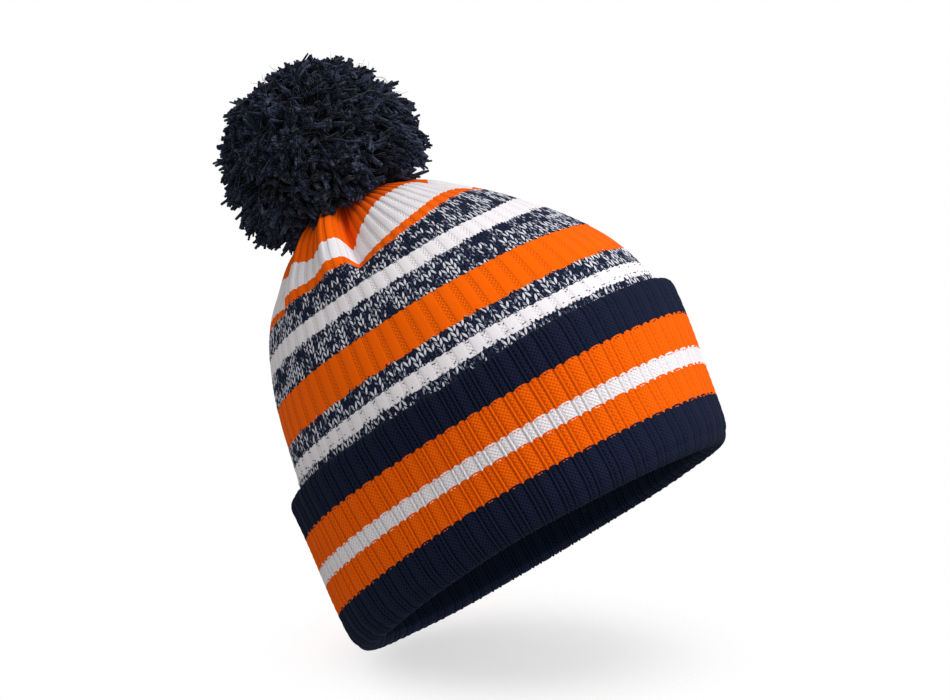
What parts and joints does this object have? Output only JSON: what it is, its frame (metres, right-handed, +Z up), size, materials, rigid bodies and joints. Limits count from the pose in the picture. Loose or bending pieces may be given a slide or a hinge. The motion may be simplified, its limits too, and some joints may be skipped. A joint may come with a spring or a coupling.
{
  "type": "pom pom beanie",
  "caption": "Double-layer rib-knit winter beanie with a turned-up cuff, a crown gathered by drawn yarn and a cut-yarn pompom tied on top.",
  "frame": {"origin": "middle of the bounding box on the surface that the brim stands on", "axes": "+Z up through the crown; X along the wide way of the oval brim; -Y faces forward, away from the back seam"},
  "size_m": [0.2308, 0.1807, 0.2825],
  "materials": {
    "orange_yarn": "matte rib-knit acrylic",
    "navy_yarn": "matte rib-knit acrylic",
    "white_yarn": "matte rib-knit acrylic",
    "marl_yarn": "matte navy and white twisted acrylic",
    "pom_yarn": "matte cut acrylic yarn",
    "tie_yarn": "matte twisted yarn",
    "seam_thread": "matte sewing thread",
    "label_satin": "soft satin ribbon"
  },
  "bodies": {
    "hat": {"knit_shell": "orange_yarn", "lining": "navy_yarn", "cuff_face": "navy_yarn", "cuff_backing": "marl_yarn", "cuff_top_fold": "navy_yarn", "brim_turn": "navy_yarn", "crown_gather_yarn": "tie_yarn", "lining_gather_yarn": "tie_yarn", "shell_back_seam": "seam_thread", "cuff_back_seam": "seam_thread", "lining_seam": "seam_thread", "label_bar_tack": "seam_thread", "tie_knot": "tie_yarn"},
    "tie_lower": {"tie_shank_lower": "tie_yarn"},
    "tie_upper": {"tie_shank_upper": "tie_yarn"},
    "pom": {"pom_yarn": "pom_yarn", "pom_binding": "tie_yarn", "pom_tie_cord": "tie_yarn"},
    "label": {"care_label": "label_satin"}
  },
  "joints": [
    {"name": "pom_nod", "type": "hinge", "parent": "hat", "child": "tie_lower", "pos_m": [-0.0059, 0, 0.204], "axis": [1, 0, 0], "range_deg": [-15, 15], "stiffness_Nm_per_rad": 0.12},
    {"name": "pom_sway", "type": "hinge", "parent": "tie_lower", "child": "tie_upper", "pos_m": [-0.0059, 0, 0.204], "axis": [0, 1, 0], "range_deg": [-15, 15], "stiffness_Nm_per_rad": 0.12},
    {"name": "pom_twist", "type": "hinge", "parent": "tie_upper", "child": "pom", "pos_m": [-0.0059, 0, 0.21], "axis": [0, 0, 1], "range_deg": [-45, 45], "stiffness_Nm_per_rad": 0.01},
    {"name": "label_flap", "type": "hinge", "parent": "hat", "child": "label", "pos_m": [0.0167, 0.0726, 0.06], "axis": [-1, 0, 0], "range_deg": [0, 80]}
  ]
}
